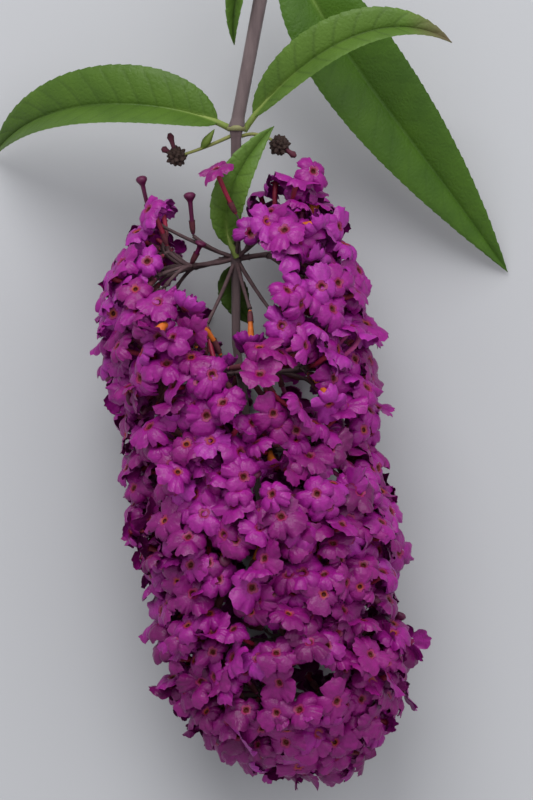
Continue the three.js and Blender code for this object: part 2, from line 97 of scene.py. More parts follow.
# Places where the head is open: round the stem, and gaps on the upper side, some of them through
STEM_OPENINGS = (
    {"from": CROWN_TOP_H, "to": -17, "left": 40, "right": 16.5},
    {"from": -17, "to": -13, "left": 40, "right": 12.5},
    {"from": -13, "to": -4, "left": 15, "right": 5.5},
    {"from": -4, "to": 0, "left": 14, "right": 9.5},
    {"from": 0, "to": 9.5, "left": 21, "right": 11},
    {"from": 9.5, "to": 15, "left": 9.5, "right": 9.5},
    {"from": 15, "to": 24.5, "left": 6.8, "right": 6.5},
)
GAPS = (
    {"across": 14, "h": 27.5, "half_width": 7.5, "half_length": 5.2, "is_through": True},
    {"across": 20, "h": 42, "half_width": 3.5, "half_length": 3.5, "is_through": True},
    {"across": -26, "h": 49.5, "half_width": 3.8, "half_length": 4, "is_through": True},
    {"across": -13, "h": 71, "half_width": 4.5, "half_length": 3, "is_through": False},
    {"across": -4, "h": 79, "half_width": 7, "half_length": 3, "is_through": True},
    {"across": 8, "h": 87.5, "half_width": 3.5, "half_length": 3.8, "is_through": True},
    {"across": -3, "h": 91.5, "half_width": 6, "half_length": 4, "is_through": False},
)


def lone_floret(kind, side, root, face, facing):
    """A floret on a stalk of its own in an open place, from one side of the first whorl."""
    return {"kind": kind, "cluster": f"flowers_1_{side}", "root": root, "face": face, "facing": facing}


LONE_FLORETS = (
    lone_floret("open", "right", root=(2.6, 2.6, 3.6), face=(3.2, 4.7, 11), facing=(0.1, 0.1, 1)),
    lone_floret("open", "right", root=(1, 7.2, 8.3), face=(-4, 18, 12.5), facing=(-0.3, 0.9, 0.4)),
    lone_floret("bud", "left", root=(-9, 4.5, 3), face=(-9.8, 13.6, 6), facing=(-0.1, 1, 0.2)),
    lone_floret("bud", "left", root=(-18, 8, 3), face=(-20, 17, 6), facing=(-0.2, 1, 0.3)),
    lone_floret("open", "left", root=(-6, -14, 6), face=(-3.5, -24.3, 11), facing=(0.4, -0.9, 0.4)),
    lone_floret("aged", "right", root=(3, -11, 7.5), face=(3.2, -19, 12), facing=(0, -0.85, 0.5)),
    lone_floret("open", "right", root=(11, 10, 5), face=(16.3, 17.8, 9), facing=(0.3, 0.3, 0.9)),
    lone_floret("bud", "left", root=(-9.5, -1.5, 4), face=(-7.2, 3.2, 7), facing=(0.3, 0.9, 0.3)),
    lone_floret("bud", "right", root=(9, -13.5, 6), face=(10.8, -7.5, 9), facing=(0.3, 0.9, 0.3)),
)

CLEARANCE = 0.3  # between a leaf's foot and the stem node that carries it
LEAF_RISE = 0.7
LEAF_FALL = 0.95
STALK_SHARE = 0.05

# ---- sizes of the florets and their twigs

SEED = 5
FLORET_AREA = 23.5  # of the head's surface for each floret
WALK_STEP = 0.05  # along the head, from one look for the next floret's place to another
SPARSE_TO_H = -1  # from the crown to here, the left side keeps one floret in so many
SPARSE_EVERY = 3
DROPPED_EVERY = 5  # on the side that the head lies on, one floret in so many has dropped
UNDERSIDE_SINE = -0.3  # that side begins this share of the head's radius above its axis
PLACE_JITTER = 2.2
JITTER_RADIUS = 8  # where the head is narrower, the jitter's angle grows no more
DEPTHS = (1.8, 6.3)  # least and greatest depth of a floret below the head's surface
TIP_START = 85  # from here on florets lie less and less deep
TIP_DEPTH_SHARE = 0.3  # of a floret's depth, at the head's end
TIP_MARGIN = 1.5  # between the last florets and the head's end
REST_MARGIN = 1.2  # between the lowest florets and what the branch lies on
FLOOR_GAP = 0.05  # petals that would reach lower are laid flat at this height above the floor

BUD_SHARE = 0.035
AGED_SHARE = 0.035
FLORET_SIZES = (0.88, 1.06)  # least and greatest share of the usual size

# Which way a floret faces: out of the head, this much along its tube, a tilt, and the lift
TUBE_PULL = 0.5
TILT_JITTER = 1.0
LIFT = 0.85  # how far the florets turn towards the cut end, where the light came from
LIFT_FADE = 22  # over the last part of the head they turn so less and less

# An aged floret high on the head hangs towards the tip instead, so that its orange tube shows
HANG_SINE = 0.5
HANG_OUTWARD = 0.5
HANG_TILT = 0.4
HANG_DIRECTION = (0, -0.9, 0)

FLORETS_PER_TWIG = 3
TWIG_LEVELS = (
    {"start": 0.8, "end": 0.7, "reach": 0.14},
    {"start": 0.58, "end": 0.52, "reach": 0.34},
    {"start": 0.46, "end": 0.42, "reach": 0.45},
    {"start": 0.36, "end": 0.36, "reach": 0.5},
)
LEAST_REACH = 0.15
TWIG_BEND = 0.45  # share of a twig's length that it keeps its first heading for
TWIG_FOOT_SHARE = 0.5  # a cluster's first twig starts at this share of the stem's radius
TWIG_END_SHARE = 0.85  # of a twig's radius, just before it swells to a knot where it forks
TWIG_KNOT_SHARE = 1.25
TWIG_POINTS = 6
LONE_TWIG_RADII = (0.5, 0.4)
LONE_TWIG_ARCH = (0, -1.2, 0.8)
STALK_LENGTH = 1
STALK_SHARES = np.array([0, 0.5, 1.05])
STALK_RADII = np.array([0.26, 0.2, 0.26])

FACE_RADIUS = 5.1
THROAT_RADIUS = 0.5  # where a face turns down into its throat
THROAT_PROFILE = ((0.54, 0.02), (0.46, -0.25), (0.34, -0.5), (0.02, -0.55))
LOBE_COUNT = 4
LOBE_REACH = (0.84, 1.1)  # least and greatest share of the face's radius that a lobe reaches
NOTCH_DEPTH = 0.38  # of the face's radius
NOTCH_POWER = 5
EDGE_JITTER = 0.3
LOBE_RISE = 0.5  # slope of a lobe beside the eye
CURL = -1.1  # slope of a lobe's tip
CURL_SPREAD = 0.6
FACE_CURL_SPREAD = 0.3
CURL_POWER = 1.3
ROLL = -1.1  # how far a lobe's two sides turn down
ROLL_SPREAD = 0.7
TWIST_SPREAD = 0.6
RUFFLE = 0.48
RUFFLE_WAVES = ((5, 0.7), (11, 0.8), (19, 0.6))  # number of waves round a face, and their share
SKEW = 0.12  # radians by which a face's lobes are set unevenly
FACE_POINTS = 64  # round a face
FACE_SHARES = np.array([0, 0.075, 0.18, 0.36, 0.55, 0.71, 0.86, 1])
EYE_RINGS = 1  # of a face from its throat outwards
HALO_RINGS = 1
PETAL_START = EYE_RINGS + HALO_RINGS
RING_THINNING = 4  # the eye and the halo take every fourth point of the face

TUBE_LENGTH = 8.2
TUBE_BEND = 0.42  # share of a floret's span that its tube keeps to the way its face looks
TUBE_SHARES = np.array([0, 0.2, 0.45, 0.7, 0.88, 0.97, 1])
TUBE_RADII = np.array([0.4, 0.48, 0.5, 0.54, 0.6, 0.68, 0.78])
AGED_TUBE_RADII = np.array([0.4, 0.5, 0.62, 0.8, 1.05, 1.2, 1.25])
BUD_SHARES = np.array([0, 0.25, 0.6, 0.74, 0.8, 0.86, 0.92, 0.97, 0.99, 1])
BUD_RADII = np.array([0.4, 0.44, 0.46, 0.52, 0.8, 1.15, 1.25, 0.95, 0.6, 0.05])
BUD_THICKNESSES = (0.85, 1.2)
CALYX_LENGTH = 2.6
CALYX_START_RANGE = (0.05, 0.7)  # shares of the way from a floret's root to its face
CALYX_END_LIMIT = 0.75
CALYX_SHARES = np.array([0, 0.12, 0.45, 0.8, 1])
CALYX_RADII = np.array([0.28, 0.52, 0.66, 0.68, 0.74])

# From the crown's lightest to the tip's darkest: partly painted light and shade, partly the young tip's
# colour
PETAL_SHADES = (
    (134, 30, 124),
    (128, 20, 113),
    (122, 15, 106),
    (114, 12, 94),
    (106, 11, 88),
    (94, 8, 76),
)
SHADE_AT_CROWN = 0.9
SHADE_AT_TIP = 3.9
SHADE_SPREAD = 1.3
ORANGE_EYE_SHARE = 0.22
CRIMSON_SHARE = 0.65

rng = np.random.default_rng(SEED)
GOLDEN_ANGLE = math.pi * (3 - math.sqrt(5))
UP = np.array([0.0, 0.0, 1.0])

# ---- vectors and curves


def unit(vectors):
    return vectors / np.maximum(np.linalg.norm(vectors, axis=-1, keepdims=True), 1e-9)


def lerp(a, b, share):
    return a + (b - a) * share


def turns(number):
    """Equal steps of angle round a circle."""
    return np.arange(number) * 2 * math.pi / number


def cross_spokes(turn):
    """Directions at right angles to the branch."""
    return np.stack([np.cos(turn), np.zeros_like(turn), np.sin(turn)], axis=-1)


def rotation_frame(facing, spin):
    """Two directions at right angles to each facing one, turned about it by spin."""
    helper = np.where(np.abs(facing[:, 2:3]) < 0.9, UP, [1.0, 0.0, 0.0])
    x = unit(np.cross(helper, facing))
    y = np.cross(facing, x)
    cosine = np.cos(spin)[:, None]
    sine = np.sin(spin)[:, None]
    return x * cosine + y * sine, y * cosine - x * sine


def quadratic(start, control, end, shares):
    """Points of one quadratic curve, or of many, where shares is an array of curve and point."""
    t = np.asarray(shares)[..., None]
    start, control, end = (np.asarray(place)[..., None, :] for place in (start, control, end))
    return (1 - t) ** 2 * start + 2 * (1 - t) * t * control + t**2 * end


def midrib_at(leaf, t):
    """Points and directions of a leaf's midrib, a cubic curve from its foot to its tip."""
    p0, p1, p2, p3 = (np.asarray(place, float) for place in (leaf["foot"], *leaf["curve"]))
    t = np.asarray(t)[:, None]
    points = (1 - t) ** 3 * p0 + 3 * (1 - t) ** 2 * t * p1 + 3 * (1 - t) * t**2 * p2 + t**3 * p3
    slopes = (1 - t) ** 2 * (p1 - p0) + 2 * (1 - t) * t * (p2 - p1) + t**2 * (p3 - p2)
    return points, unit(slopes)


def sweep(paths, radii, sides):
    """Rings of points round many paths: an array of path, ring, side and coordinate."""
    paths = np.asarray(paths, float)
    if paths.ndim == 2:
        paths = paths[None]
    radii = np.broadcast_to(np.asarray(radii, float), paths.shape[:2])
    tangents = unit(np.gradient(paths, axis=1))
    chords = unit(paths[:, -1] - paths[:, 0])
    reference, _ = rotation_frame(chords, np.zeros(len(chords)))
    x = reference[:, None, :]
    x = unit(x - (x * tangents).sum(-1, keepdims=True) * tangents)
    y = np.cross(tangents, x)
    cosine = np.cos(turns(sides))[:, None]
    sine = np.sin(turns(sides))[:, None]
    spokes = x[:, :, None, :] * cosine + y[:, :, None, :] * sine
    return paths[:, :, None, :] + radii[:, :, None, None] * spokes


def spindle(start, end, radii):
    """A straight form round a row of radii, from one place to another."""
    path = start + (np.asarray(end) - start) * np.linspace(0, 1, len(radii))[:, None]
    return sweep(path, radii, sides=8)


# ---- the rules of the solids


def stem_at(h):
    """The stem's axis at h."""
    h = np.asarray(h, float)
    lean = STEM_LEAN * np.maximum(0, LEAF_NODE_H - h)
    bend_share = np.maximum(0, h - HEAD_BEND_START) / (HEAD_END_H - HEAD_BEND_START)
    droop_share = np.maximum(0, h - DROOP_START) / (HEAD_END_H - DROOP_START)
    sink_share = np.maximum(0, -h) / -CUT_H
    x = lean + HEAD_BEND * bend_share**HEAD_BEND_POWER
    z = -TIP_DROOP * droop_share**2 - CUT_SINK * sink_share**2
    return np.stack([x, -h, z], axis=-1)


def stem_radius(h):
    h = np.asarray(h, float)
    above = lerp(RADIUS_AT_LEAF_NODE, RADIUS_AT_CUT, (LEAF_NODE_H - h) / (LEAF_NODE_H - CUT_H))
    below = lerp(RADIUS_BELOW_LEAF_NODE, RADIUS_AT_TIP, (h - LEAF_NODE_H) / (STEM_TIP_H - LEAF_NODE_H))
    return np.where(h < LEAF_NODE_H, above, below)


def whorl_h(whorl):
    if whorl == 0:
        return 0.0
    return FIRST_GAP + sum(SECOND_GAP * GAP_SHRINK ** (i - 1) for i in range(1, whorl))


def whorl_of(h):
    whorl = 0
    while whorl < WHORL_COUNT and h > (whorl_h(whorl) + whorl_h(whorl + 1)) / 2:
        whorl += 1
    return whorl


def surface_radius(h):
    """The head's radius at h."""
    h = np.asarray(h, float)
    crown = np.clip((CROWN_FOOT_H - h) / (CROWN_FOOT_H - CROWN_END_H), 0, 1) ** CROWN_POWER
    taper = np.clip((h - TAPER_START) / (HEAD_END_H - TAPER_START), 0, 1) ** TAPER_POWER
    radius = HEAD_RADIUS * np.sqrt(np.maximum(0, 1 - crown - taper))
    for waist in WAISTS:
        radius = radius - waist["depth"] * np.exp(-(((h - waist["h"]) / WAIST_WIDTH) ** 2))
    return np.maximum(0, radius)


def surface_point(h, angle, depth):
    radius = surface_radius(h) - depth
    return stem_at(h) + radius[:, None] * cross_spokes(angle)


def surface_normal(h, angle):
    slope = np.clip(surface_radius(h + 0.5) - surface_radius(h - 0.5), -3, 3)
    return unit(np.stack([np.cos(angle), slope, np.sin(angle)], axis=-1))


def is_open(h, angle):
    """True where the head is open."""
    across = surface_radius(h) * math.cos(angle)
    for opening in STEM_OPENINGS:
        if opening["from"] < h < opening["to"] and -opening["left"] < across < opening["right"]:
            return True
    for gap in GAPS:
        across_share = (across - gap["across"]) / gap["half_width"]
        along_share = (h - gap["h"]) / gap["half_length"]
        is_inside = math.hypot(across_share, along_share) < 1
        if is_inside and (math.sin(angle) > 0 or gap["is_through"]):
            return True
    return False


def cluster_of(h, angle):
    """Name of the cluster that a floret belongs to. Successive whorls stand crosswise."""
    whorl = whorl_of(h)
    if whorl == WHORL_COUNT:
        return "flowers_tip"
    if whorl % 2:
        side = "front" if math.sin(angle) > 0 else "back"
    else:
        side = "right" if math.cos(angle) > 0 else "left"
    return f"flowers_{whorl + 1}_{side}"


def lay_florets():
    """Walks down the head and sets a floret wherever another share of its surface has gone by."""
    area = FLORET_AREA / 2
    number = 0
    places = []
    for h in np.arange(CROWN_TOP_H, HEAD_END_H, WALK_STEP):
        radius = float(surface_radius(h))
        widening = float(surface_radius(h + WALK_STEP)) - radius
        area += 2 * math.pi * radius * math.hypot(WALK_STEP, widening)
        if area < FLORET_AREA:
            continue
        area -= FLORET_AREA
        angle = number * GOLDEN_ANGLE
        number += 1
        is_sparse = h < SPARSE_TO_H and math.cos(angle) < 0 and number % SPARSE_EVERY
        has_dropped = math.sin(angle) < UNDERSIDE_SINE and number % DROPPED_EVERY == 0
        if not is_open(h, angle) and not is_sparse and not has_dropped:
            places.append((h, angle, cluster_of(h, angle)))
    return places


# ---- meshes

cut_mount = next(m for m in frame["record"]["mounts"] if m["name"] == "cut_end")
SHIFT = np.array(cut_mount["pos_m"]) / MM - stem_at(CUT_H)  # from the branch's own frame to the solids'
FLOWER_NODES = sorted(name for name in frame["nodes"] if name.startswith("flowers_"))


def grid_triangles(rows, columns, closed):
    """Triangles of a grid of points, closed where its last column joins its first."""
    strips = columns if closed else columns - 1
    row, column = np.meshgrid(np.arange(rows - 1), np.arange(strips), indexing="ij")
    a = row * columns + column
    b = row * columns + (column + 1) % columns
    c = b + columns
    d = a + columns
    return np.concatenate([np.stack([a, b, c], -1), np.stack([a, c, d], -1)]).reshape(-1, 3)


def join(parts, closed):
    """Points and triangles of many grids. A part is one grid of points or an array of such grids."""
    points = []
    triangles = []
    first = 0
    for part in parts:
        grids = part[None] if part.ndim == 3 else part
        number, rows, columns, _ = grids.shape
        starts = first + np.arange(number) * rows * columns
        points.append(grids.reshape(-1, 3))
        triangles.append((starts[:, None, None] + grid_triangles(rows, columns, closed)).reshape(-1, 3))
        first += len(points[-1])
    return np.concatenate(points), np.concatenate(triangles)


def make_piece(name, parts, material, nodes, closed=True, attributes=None):
    """Makes one mesh, which rides on the branch and stands for CAD nodes."""
    points, triangles = join(parts, closed)
    points = (points + SHIFT) * MM
    points[:, 2] = np.maximum(points[:, 2], FLOOR_GAP * MM)
    mesh = bpy.data.meshes.new(name)
    mesh.vertices.add(len(points))
    mesh.vertices.foreach_set("co", points.astype(np.float32).ravel())
    mesh.loops.add(triangles.size)
    mesh.loops.foreach_set("vertex_index", triangles.astype(np.int32).ravel())
    mesh.polygons.add(len(triangles))
    mesh.polygons.foreach_set("loop_start", np.arange(0, triangles.size, 3, dtype=np.int32))
    for key, values in (attributes or {}).items():
        layer = mesh.attributes.new(key, "FLOAT", "POINT")
        layer.data.foreach_set("value", np.asarray(values, np.float32).ravel())
    mesh.update(calc_edges=True)
    mesh.shade_smooth()
    mesh.materials.append(material)
    piece = bpy.data.objects.new(name, mesh)
    bpy.context.scene.collection.objects.link(piece)
    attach(piece, "root")
    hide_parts(*nodes)


# ---- materials


def linear(value):
    """A channel of a shader's colour, from one on the screen's scale of 0 to 255."""
    share = value / 255
    if share <= 0.04045:
        return share / 12.92
    return ((share + 0.055) / 1.055) ** 2.4


def shader_colour(colour):
    return (*(linear(channel) for channel in colour), 1)


def new_material(name, colour, roughness, specular=0.3, sheen=0.0):
    material = bpy.data.materials.new(name)
    material.use_nodes = True
    shader = material.node_tree.nodes["Principled BSDF"]
    shader.inputs["Base Color"].default_value = shader_colour(colour)
    shader.inputs["Roughness"].default_value = roughness
    shader.inputs["Specular IOR Level"].default_value = specular
    shader.inputs["Sheen Weight"].default_value = sheen
    return material, material.node_tree, shader


def add_node(tree, kind, **inputs):
    node = tree.nodes.new(kind)
    for key, value in inputs.items():
        node.inputs[key].default_value = value
    return node


def texture_of(tree, kind, size, stretch=(1, 1, 1), **inputs):
    """A texture in object space, whose features are about size millimetres across."""
    place = tree.nodes.new("ShaderNodeTexCoord")
    mapping = add_node(tree, "ShaderNodeMapping", Scale=stretch)
    texture = add_node(tree, kind, Scale=1 / (size * MM), **inputs)
    tree.links.new(place.outputs["Object"], mapping.inputs["Vector"])
    tree.links.new(mapping.outputs["Vector"], texture.inputs["Vector"])
    return texture


def noise_of(tree, size, detail=3, stretch=(1, 1, 1)):
    return texture_of(tree, "ShaderNodeTexNoise", size, stretch, Detail=detail).outputs["Fac"]


def add_bump(tree, shader, height, depth):
    """Bumps of a depth in millimetres, after any that the shader already has."""
    bump = add_node(tree, "ShaderNodeBump", Strength=1, Distance=depth * MM)
    tree.links.new(height, bump.inputs["Height"])
    earlier = shader.inputs["Normal"].links
    if earlier:
        tree.links.new(earlier[0].from_socket, bump.inputs["Normal"])
    tree.links.new(bump.outputs["Normal"], shader.inputs["Normal"])


def mix_colours(tree, factor, first, second):
    """A mix of two colours, each a socket or a screen colour."""
    mix = tree.nodes.new("ShaderNodeMix")
    mix.data_type = "RGBA"
    tree.links.new(factor, mix.inputs["Factor"])
    for key, value in (("A", first), ("B", second)):
        socket = next(s for s in mix.inputs if s.name == key and s.type == "RGBA")
        if isinstance(value, bpy.types.NodeSocket):
            tree.links.new(value, socket)
        else:
            socket.default_value = shader_colour(value)
    return next(s for s in mix.outputs if s.type == "RGBA")


def shaded(colour, share):
    return tuple(channel * share for channel in colour)


def petal_material(name, colour):
    """A petal's velvet: a shade that varies a little, with the fine bumps of its cells."""
    material, tree, shader = new_material(name, colour, roughness=0.38, specular=0.26, sheen=0.03)
    blotches = noise_of(tree, size=1.3, detail=4)
    blotched = mix_colours(tree, blotches, shaded(colour, 0.8), shaded(colour, 1.2))
    tree.links.new(blotched, shader.inputs["Base Color"])
    shader.inputs["Sheen Roughness"].default_value = 0.4
    shader.inputs["Sheen Tint"].default_value = shader_colour((232, 190, 240))
    add_bump(tree, shader, noise_of(tree, size=1.4), depth=0.3)
    add_bump(tree, shader, noise_of(tree, size=0.35), depth=0.05)
    return material


def mottling(dark, light, size, roughness=0.5, bump=0.05):
    """Two colours mixed by noise of a size, and bumps of a depth from noise of a fifth of that size."""
    return {"dark": dark, "light": light, "size": size, "roughness": roughness, "bump": bump}


MOTTLED_LOOKS = {
    "halo": mottling((120, 16, 84), (134, 24, 74), size=0.6, bump=0.03),
    "red eye": mottling((72, 6, 18), (102, 18, 20), size=0.7, bump=0.03),
    "orange eye": mottling((106, 26, 18), (152, 62, 26), size=0.7, bump=0.03),
    # The throat is a shallow closed dish, painted dark red-brown as the shade down the tube's mouth
    "throat with painted shade": mottling((52, 5, 12), (92, 18, 16), size=0.5, roughness=0.6, bump=0.03),
    "crimson tube": mottling((98, 10, 34), (148, 30, 62), size=1.5),
    "pink tube": mottling((128, 28, 82), (168, 62, 126), size=1.5),
    "orange tube": mottling((150, 58, 24), (216, 122, 42), size=1.5),
    "bud": mottling((46, 5, 26), (96, 14, 66), size=1.2),
    "calyx": mottling((62, 22, 36), (104, 50, 58), size=0.9, roughness=0.7, bump=0.06),
    "twig": mottling((52, 36, 40), (96, 74, 76), size=1.4, roughness=0.8, bump=0.08),
    "bark": mottling((50, 37, 41), (106, 91, 91), size=1.6, roughness=0.75, bump=0.1),
    "flower axis": mottling((44, 31, 34), (98, 80, 82), size=1.4, roughness=0.75, bump=0.1),
    "collar": mottling((98, 98, 62), (128, 126, 86), size=0.8, roughness=0.7, bump=0.06),
    "leaf underside": mottling((112, 130, 84), (146, 160, 116), size=1.5, roughness=0.8, bump=0.08),
    "leaf rib": mottling((92, 112, 50), (128, 142, 72), size=1.2, roughness=0.6),
    "spent stalk": mottling((92, 96, 48), (124, 126, 70), size=1.2, roughness=0.7),
    "capsule": mottling((30, 19, 19), (62, 45, 38), size=0.8, roughness=0.85, bump=0.12),
    "shoot": mottling((42, 18, 28), (88, 26, 46), size=1.6, roughness=0.7, bump=0.08),
    "small bract": mottling((62, 84, 20), (96, 112, 40), size=1.2, roughness=0.6),
}
ALONG_BRANCH = (1, 0.16, 1)  # stretches the mottling of the bark into streaks


@cache
def mottled_material(name, stretch=(1, 1, 1), sheen=0.0):
    """The material of a mottled look, made when it is first asked for."""
    look = MOTTLED_LOOKS[name]
    material, tree, shader = new_material(name, look["dark"], look["roughness"], sheen=sheen)
    blotches = noise_of(tree, look["size"], stretch=stretch)
    mottled = mix_colours(tree, blotches, look["dark"], look["light"])
    tree.links.new(mottled, shader.inputs["Base Color"])
    add_bump(tree, shader, noise_of(tree, look["size"] / 5, stretch=stretch), look["bump"])
    return material


VEIN_COLOUR = (134, 156, 76)
BLUSH_COLOUR = (98, 84, 62)


def leaf_attribute(tree, name):
    node = tree.nodes.new("ShaderNodeAttribute")
    node.attribute_name = name
    return node.outputs["Fac"]


def leaf_material(name, dark, light):
    """The upper side of a leaf: mottled green, painted shade in its creases, a pale rib, a net of veins, a
    ripe tip.
    """
    material, tree, shader = new_material(name + " upper", dark, roughness=0.5, specular=0.25, sheen=0.03)
    colour = mix_colours(tree, noise_of(tree, size=7, detail=5), dark, light)
    # Darker green over the creases is painted shade; the pale rib and the ripe tip are the leaf's own
    # colours
    for key, painted in (("painted_crease_shade", shaded(dark, 0.7)), ("vein", VEIN_COLOUR), ("blush", BLUSH_COLOUR)):
        colour = mix_colours(tree, leaf_attribute(tree, key), colour, painted)
    tree.links.new(colour, shader.inputs["Base Color"])
    net = texture_of(tree, "ShaderNodeTexVoronoi", size=1.1)
    net.feature = "DISTANCE_TO_EDGE"
    add_bump(tree, shader, net.outputs["Distance"], depth=0.12)
    add_bump(tree, shader, noise_of(tree, size=0.4), depth=0.04)
    return material


def make_flower_piece(name, parts, look):
    make_piece(name, parts, mottled_material(look), FLOWER_NODES)


# ---- florets: where each one is

laid = lay_florets()
laid_count = len(laid)
floret_h = np.array([h for h, _, _ in laid]) + rng.uniform(-PLACE_JITTER, PLACE_JITTER, laid_count)
floret_h = np.clip(floret_h, CROWN_TOP_H, HEAD_END_H - TIP_MARGIN)
floret_angle = np.array([angle for _, angle, _ in laid])
round_jitter = rng.uniform(-PLACE_JITTER, PLACE_JITTER, laid_count)
floret_angle += round_jitter / np.maximum(JITTER_RADIUS, surface_radius(floret_h))
chance = rng.uniform(0, 1, laid_count)
is_old = chance > 1 - AGED_SHARE
hangs = is_old & (np.sin(floret_angle) > HANG_SINE)
depth = rng.uniform(*DEPTHS, laid_count)
tip_share = np.clip((floret_h - TIP_START) / (HEAD_END_H - TIP_START), 0, 1)
depth *= lerp(1, TIP_DEPTH_SHARE, tip_share)


def of_lone(key):
    """A value of each floret on a stalk of its own. These follow the others in every list."""
    return [lone[key] for lone in LONE_FLORETS]


cluster = [name for _, _, name in laid] + of_lone("cluster")
floret_count = len(cluster)
centre = np.concatenate([surface_point(floret_h, floret_angle, depth), of_lone("face")])
centre[:, 2] = np.maximum(centre[:, 2], REST_MARGIN - REST_DEPTH)
is_bud = np.concatenate([chance < BUD_SHARE, [kind == "bud" for kind in of_lone("kind")]])
is_aged = np.concatenate([is_old, [kind == "aged" for kind in of_lone("kind")]])
open_florets = np.flatnonzero(~is_bud)

# ---- florets: twigs to their roots

twigs = []  # start, control point, end, first radius and last radius of each
root = np.zeros((floret_count, 3))


def thirds(members):
    """Florets sorted along the longest side of their group and dealt out in three."""
    span = np.ptp(centre[members], axis=0)
    ranked = members[np.argsort(centre[members, int(np.argmax(span))])]
    return [part for part in np.array_split(ranked, 3) if len(part)]


def grow_twig(members, start, heading, level):
    """A twig grows towards the middle of its florets and forks in three, until few are left."""
    size = TWIG_LEVELS[level]
    middle = centre[members].mean(axis=0)
    is_last = len(members) <= FLORETS_PER_TWIG or level == len(TWIG_LEVELS) - 1
    share = size["reach"]
    if is_last:
        share = max(LEAST_REACH, 1 - (TUBE_LENGTH + STALK_LENGTH) / np.linalg.norm(middle - start))
    end = lerp(start, middle, share)
    control = start + heading * np.linalg.norm(end - start) * TWIG_BEND
    twigs.append((start, control, end, size["start"], size["end"]))
    if is_last:
        root[members] = end
        return
    for group in thirds(members):
        grow_twig(group, end, unit(end - control), level + 1)


def grow_cluster(name):
    """A cluster's twigs, from inside the stem at its whorl, or at the stem's end for the tip."""
    members = np.array([i for i in range(laid_count) if cluster[i] == name])
    if name == "flowers_tip":
        node_h = STEM_TIP_H
        outward = np.array([0.0, -1.0, 0.0])
    else:
        node_h = whorl_h(whorl_of(laid[members[0]][0]))
        outward = centre[members].mean(axis=0) - stem_at(node_h)
        outward[1] = 0
    outward = unit(outward)
    start = stem_at(node_h) + outward * stem_radius(node_h) * TWIG_FOOT_SHARE
    grow_twig(members, start, outward, 0)


for name in dict.fromkeys(cluster):
    grow_cluster(name)
root[laid_count:] = of_lone("root")
for end in root[laid_count:]:
    arch = lerp(stem_at(0), end, 0.5) + LONE_TWIG_ARCH
    twigs.append((stem_at(0), arch, end, *LONE_TWIG_RADII))

# ---- florets: which way each one faces

tube_direction = unit(centre - root)[:laid_count]
tilt = rng.uniform(-TILT_JITTER, TILT_JITTER, (laid_count, 3))
outward = surface_normal(floret_h, floret_angle)
facing = outward + tube_direction * TUBE_PULL + tilt
facing[:, 1] += LIFT * np.clip((HEAD_END_H - floret_h) / LIFT_FADE, 0, 1)
facing[hangs] = outward[hangs] * HANG_OUTWARD + tilt[hangs] * HANG_TILT + HANG_DIRECTION
facing = unit(np.concatenate([facing, of_lone("facing")]))
spin = rng.uniform(0, math.pi, floret_count)
size_of = rng.uniform(*FLORET_SIZES, floret_count)

# ---- florets: faces

theta = turns(FACE_POINTS)
lobe = np.round(theta / (math.pi / 2)).astype(int)
across_lobe = (theta - lobe * math.pi / 2) / (math.pi / 4)
neighbour = (lobe + np.sign(across_lobe).astype(int)) % LOBE_COUNT
lobe = lobe % LOBE_COUNT
neighbour_share = 0.5 * np.abs(across_lobe) ** 4


def over_lobes(values):
    """A value of each lobe, carried round the face and blended at the notches."""
    return values[:, lobe] * (1 - neighbour_share) + values[:, neighbour] * neighbour_share


def place_on_florets(members, radius, turn, height):
    """Points about each floret's axis. The last three values are arrays of floret, ring and point."""
    x, y = rotation_frame(facing[members], spin[members])
    return (
        centre[members][:, None, None, :]
        + (radius * np.cos(turn))[..., None] * x[:, None, None, :]
        + (radius * np.sin(turn))[..., None] * y[:, None, None, :]
        + height[..., None] * facing[members][:, None, None, :]
    )


def face_grids(members):
    """The four lobes of many florets, as rings of points from the throat to the edge."""
    number = len(members)
    throat = THROAT_RADIUS * size_of[members][:, None, None]
    reach = FACE_RADIUS * size_of[members][:, None] * rng.uniform(*LOBE_REACH, (number, LOBE_COUNT))
    length = over_lobes(reach) * (1 - NOTCH_DEPTH * np.abs(across_lobe) ** NOTCH_POWER) - throat[:, 0]
    length += rng.uniform(-EDGE_JITTER, EDGE_JITTER, (number, FACE_POINTS))
    curl = rng.normal(CURL, CURL_SPREAD, (number, LOBE_COUNT))
    curl += rng.normal(0, FACE_CURL_SPREAD, (number, 1))
    roll = rng.normal(ROLL, ROLL_SPREAD, (number, LOBE_COUNT))
    twist = rng.normal(0, TWIST_SPREAD, (number, LOBE_COUNT))
    phases = rng.uniform(0, 2 * math.pi, (number, 1, len(RUFFLE_WAVES)))

    shares = FACE_SHARES[None, :, None]
    slope = lerp(LOBE_RISE, over_lobes(curl)[:, None, :], shares**CURL_POWER)
    steps = np.diff(FACE_SHARES, prepend=0)[None, :, None] * length[:, None, :]
    radius = throat + np.cumsum(steps * np.cos(slope), axis=1)
    height = np.cumsum(steps * np.sin(slope), axis=1)
    outer = (shares * length[:, None, :] / FACE_RADIUS) ** 2
    height += over_lobes(roll)[:, None, :] * across_lobe**2 * outer
    height += over_lobes(twist)[:, None, :] * np.sin(across_lobe * math.pi) * outer
    waves = 0
    for i, (wave_number, wave_share) in enumerate(RUFFLE_WAVES):
        waves = waves + wave_share * np.sin(wave_number * theta + phases[:, :, [i]])
    height += RUFFLE * waves * outer**2
    skewed = theta + SKEW * np.sin(theta + phases[:, :, [0]]) + SKEW * np.sin(2 * theta + phases[:, :, [1]])
    return place_on_florets(members, radius, skewed, height)


def turned_grids(members, profile, sides):
    """A surface of revolution about each floret's axis, from (radius, height) pairs."""
    radius, height = np.array(profile).T[:, None, :, None]
    return place_on_florets(members, radius * size_of[members][:, None, None], turns(sides), height)


